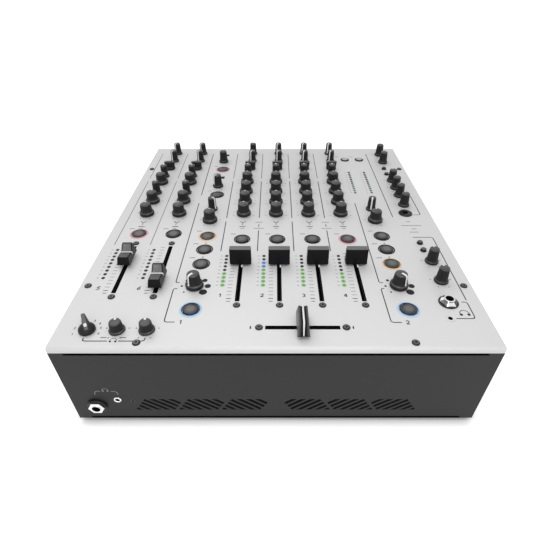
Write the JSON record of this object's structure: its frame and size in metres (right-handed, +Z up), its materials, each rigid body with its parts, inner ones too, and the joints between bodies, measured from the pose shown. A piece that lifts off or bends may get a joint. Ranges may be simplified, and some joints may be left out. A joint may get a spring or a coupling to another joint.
{
  "type": "dj mixer",
  "caption": "Free-standing club DJ mixer: folded steel case, silver control panel, rotary knobs, lit push buttons, channel faders, crossfader and level meters.",
  "frame": {"origin": "centre of the overall box at the plane under the feet", "axes": "+X to the user's right along the panel's width, +Y from the front lip to the rear panel, +Z up"},
  "size_m": [0.32, 0.3714, 0.1057],
  "materials": {
    "panel": "satin silver-grey",
    "case": "fine textured charcoal powder coat",
    "knob": "matte soft-touch black",
    "fader_cap": "satin black",
    "button": "semi-gloss black",
    "light_ring": "smoked translucent",
    "led": "clear tinted lens",
    "socket": "bright nickel",
    "connector": "matte black moulding",
    "board": "green solder mask",
    "component": "moulded component",
    "steel": "plated",
    "screw": "black oxide",
    "foot": "matte rubber"
  },
  "bodies": {
    "case": {"top_panel": "panel", "base_tray": "case", "rear_panel": "case", "slim_knobs": "knob", "wide_knobs": "knob", "tall_knobs": "knob", "selector_knobs": "knob", "panel_buttons": "button", "meter_leds": "led", "jack_sockets": "socket", "rear_xlr_sockets": "connector", "rear_phono_sockets": "connector", "mains_inlet": "connector", "circuit_boards": "board", "board_standoffs": "steel", "potentiometers": "component", "button_switches": "component", "fader_frames": "steel", "button_rings": "light_ring", "power_supply": "component", "feet": "foot", "panel_screws": "screw"},
    "fader_1": {"fader_1": "fader_cap"},
    "trim_knob_1": {"trim_knob_1": "knob"},
    "low_knob_1": {"low_knob_1": "knob"},
    "low_mid_knob_1": {"low_mid_knob_1": "knob"},
    "high_mid_knob_1": {"high_mid_knob_1": "knob"},
    "high_knob_1": {"high_knob_1": "knob"},
    "cue_button_1": {"cue_button_1": "button"},
    "fader_2": {"fader_2": "fader_cap"},
    "trim_knob_2": {"trim_knob_2": "knob"},
    "low_knob_2": {"low_knob_2": "knob"},
    "low_mid_knob_2": {"low_mid_knob_2": "knob"},
    "high_mid_knob_2": {"high_mid_knob_2": "knob"},
    "high_knob_2": {"high_knob_2": "knob"},
    "cue_button_2": {"cue_button_2": "button"},
    "fader_3": {"fader_3": "fader_cap"},
    "trim_knob_3": {"trim_knob_3": "knob"},
    "low_knob_3": {"low_knob_3": "knob"},
    "low_mid_knob_3": {"low_mid_knob_3": "knob"},
    "high_mid_knob_3": {"high_mid_knob_3": "knob"},
    "high_knob_3": {"high_knob_3": "knob"},
    "cue_button_3": {"cue_button_3": "button"},
    "fader_4": {"fader_4": "fader_cap"},
    "trim_knob_4": {"trim_knob_4": "knob"},
    "low_knob_4": {"low_knob_4": "knob"},
    "low_mid_knob_4": {"low_mid_knob_4": "knob"},
    "high_mid_knob_4": {"high_mid_knob_4": "knob"},
    "high_knob_4": {"high_knob_4": "knob"},
    "cue_button_4": {"cue_button_4": "button"},
    "fader_a": {"fader_a": "fader_cap"},
    "cue_button_a": {"cue_button_a": "button"},
    "fader_b": {"fader_b": "fader_cap"},
    "cue_button_b": {"cue_button_b": "button"},
    "filter_1_frequency_knob": {"filter_1_frequency_knob": "knob"},
    "filter_1_on_button": {"filter_1_on_button": "button"},
    "filter_2_frequency_knob": {"filter_2_frequency_knob": "knob"},
    "filter_2_on_button": {"filter_2_on_button": "button"},
    "crossfader": {"crossfader": "fader_cap"},
    "power_switch": {"power_switch": "connector"}
  },
  "joints": [
    {"name": "fader_1_slide", "type": "slide", "parent": "case", "child": "fader_1", "axis": [0, 1, 0], "range_m": [-0.0453, 0.0147]},
    {"name": "trim_knob_1_turn", "type": "hinge", "parent": "case", "child": "trim_knob_1", "pos_m": [-0.033, 0.09215, 0.088], "axis": [0, 0, -1], "range_deg": [-150, 150]},
    {"name": "low_knob_1_turn", "type": "hinge", "parent": "case", "child": "low_knob_1", "pos_m": [-0.033, 0.00135, 0.088], "axis": [0, 0, -1], "range_deg": [-150, 150]},
    {"name": "low_mid_knob_1_turn", "type": "hinge", "parent": "case", "child": "low_mid_knob_1", "pos_m": [-0.033, 0.02565, 0.088], "axis": [0, 0, -1], "range_deg": [-150, 150]},
    {"name": "high_mid_knob_1_turn", "type": "hinge", "parent": "case", "child": "high_mid_knob_1", "pos_m": [-0.033, 0.04995, 0.088], "axis": [0, 0, -1], "range_deg": [-150, 150]},
    {"name": "high_knob_1_turn", "type": "hinge", "parent": "case", "child": "high_knob_1", "pos_m": [-0.033, 0.07425, 0.088], "axis": [0, 0, -1], "range_deg": [-150, 150]},
    {"name": "cue_button_1_press", "type": "slide", "parent": "case", "child": "cue_button_1", "axis": [0, 0, -1], "range_m": [0, 0.001], "stiffness_N_per_m": 400},
    {"name": "fader_2_slide", "type": "slide", "parent": "case", "child": "fader_2", "axis": [0, 1, 0], "range_m": [-0.0453, 0.0147]},
    {"name": "trim_knob_2_turn", "type": "hinge", "parent": "case", "child": "trim_knob_2", "pos_m": [0.0003, 0.09215, 0.088], "axis": [0, 0, -1], "range_deg": [-150, 150]},
    {"name": "low_knob_2_turn", "type": "hinge", "parent": "case", "child": "low_knob_2", "pos_m": [0.0003, 0.00135, 0.088], "axis": [0, 0, -1], "range_deg": [-150, 150]},
    {"name": "low_mid_knob_2_turn", "type": "hinge", "parent": "case", "child": "low_mid_knob_2", "pos_m": [0.0003, 0.02565, 0.088], "axis": [0, 0, -1], "range_deg": [-150, 150]},
    {"name": "high_mid_knob_2_turn", "type": "hinge", "parent": "case", "child": "high_mid_knob_2", "pos_m": [0.0003, 0.04995, 0.088], "axis": [0, 0, -1], "range_deg": [-150, 150]},
    {"name": "high_knob_2_turn", "type": "hinge", "parent": "case", "child": "high_knob_2", "pos_m": [0.0003, 0.07425, 0.088], "axis": [0, 0, -1], "range_deg": [-150, 150]},
    {"name": "cue_button_2_press", "type": "slide", "parent": "case", "child": "cue_button_2", "axis": [0, 0, -1], "range_m": [0, 0.001], "stiffness_N_per_m": 400},
    {"name": "fader_3_slide", "type": "slide", "parent": "case", "child": "fader_3", "axis": [0, 1, 0], "range_m": [-0.0453, 0.0147]},
    {"name": "trim_knob_3_turn", "type": "hinge", "parent": "case", "child": "trim_knob_3", "pos_m": [0.0336, 0.09215, 0.088], "axis": [0, 0, -1], "range_deg": [-150, 150]},
    {"name": "low_knob_3_turn", "type": "hinge", "parent": "case", "child": "low_knob_3", "pos_m": [0.0336, 0.00135, 0.088], "axis": [0, 0, -1], "range_deg": [-150, 150]},
    {"name": "low_mid_knob_3_turn", "type": "hinge", "parent": "case", "child": "low_mid_knob_3", "pos_m": [0.0336, 0.02565, 0.088], "axis": [0, 0, -1], "range_deg": [-150, 150]},
    {"name": "high_mid_knob_3_turn", "type": "hinge", "parent": "case", "child": "high_mid_knob_3", "pos_m": [0.0336, 0.04995, 0.088], "axis": [0, 0, -1], "range_deg": [-150, 150]},
    {"name": "high_knob_3_turn", "type": "hinge", "parent": "case", "child": "high_knob_3", "pos_m": [0.0336, 0.07425, 0.088], "axis": [0, 0, -1], "range_deg": [-150, 150]},
    {"name": "cue_button_3_press", "type": "slide", "parent": "case", "child": "cue_button_3", "axis": [0, 0, -1], "range_m": [0, 0.001], "stiffness_N_per_m": 400},
    {"name": "fader_4_slide", "type": "slide", "parent": "case", "child": "fader_4", "axis": [0, 1, 0], "range_m": [-0.0453, 0.0147]},
    {"name": "trim_knob_4_turn", "type": "hinge", "parent": "case", "child": "trim_knob_4", "pos_m": [0.0669, 0.09215, 0.088], "axis": [0, 0, -1], "range_deg": [-150, 150]},
    {"name": "low_knob_4_turn", "type": "hinge", "parent": "case", "child": "low_knob_4", "pos_m": [0.0669, 0.00135, 0.088], "axis": [0, 0, -1], "range_deg": [-150, 150]},
    {"name": "low_mid_knob_4_turn", "type": "hinge", "parent": "case", "child": "low_mid_knob_4", "pos_m": [0.0669, 0.02565, 0.088], "axis": [0, 0, -1], "range_deg": [-150, 150]},
    {"name": "high_mid_knob_4_turn", "type": "hinge", "parent": "case", "child": "high_mid_knob_4", "pos_m": [0.0669, 0.04995, 0.088], "axis": [0, 0, -1], "range_deg": [-150, 150]},
    {"name": "high_knob_4_turn", "type": "hinge", "parent": "case", "child": "high_knob_4", "pos_m": [0.0669, 0.07425, 0.088], "axis": [0, 0, -1], "range_deg": [-150, 150]},
    {"name": "cue_button_4_press", "type": "slide", "parent": "case", "child": "cue_button_4", "axis": [0, 0, -1], "range_m": [0, 0.001], "stiffness_N_per_m": 400},
    {"name": "fader_a_slide", "type": "slide", "parent": "case", "child": "fader_a", "axis": [0, 1, 0], "range_m": [-0.0406, 0.0194]},
    {"name": "cue_button_a_press", "type": "slide", "parent": "case", "child": "cue_button_a", "axis": [0, 0, -1], "range_m": [0, 0.001], "stiffness_N_per_m": 400},
    {"name": "fader_b_slide", "type": "slide", "parent": "case", "child": "fader_b", "axis": [0, 1, 0], "range_m": [-0.0107, 0.0493]},
    {"name": "cue_button_b_press", "type": "slide", "parent": "case", "child": "cue_button_b", "axis": [0, 0, -1], "range_m": [0, 0.001], "stiffness_N_per_m": 400},
    {"name": "filter_1_frequency_knob_turn", "type": "hinge", "parent": "case", "child": "filter_1_frequency_knob", "pos_m": [-0.0663, -0.11425, 0.088], "axis": [0, 0, -1], "range_deg": [-150, 150]},
    {"name": "filter_1_on_button_press", "type": "slide", "parent": "case", "child": "filter_1_on_button", "axis": [0, 0, -1], "range_m": [0, 0.001], "stiffness_N_per_m": 400},
    {"name": "filter_2_frequency_knob_turn", "type": "hinge", "parent": "case", "child": "filter_2_frequency_knob", "pos_m": [0.1002, -0.11425, 0.088], "axis": [0, 0, -1], "range_deg": [-150, 150]},
    {"name": "filter_2_on_button_press", "type": "slide", "parent": "case", "child": "filter_2_on_button", "axis": [0, 0, -1], "range_m": [0, 0.001], "stiffness_N_per_m": 400},
    {"name": "crossfader_slide", "type": "slide", "parent": "case", "child": "crossfader", "axis": [1, 0, 0], "range_m": [-0.0225, 0.0225]},
    {"name": "power_switch_rock", "type": "hinge", "parent": "case", "child": "power_switch", "pos_m": [0.118, 0.17575, 0.062], "axis": [1, 0, 0], "range_deg": [0, 10]}
  ]
}
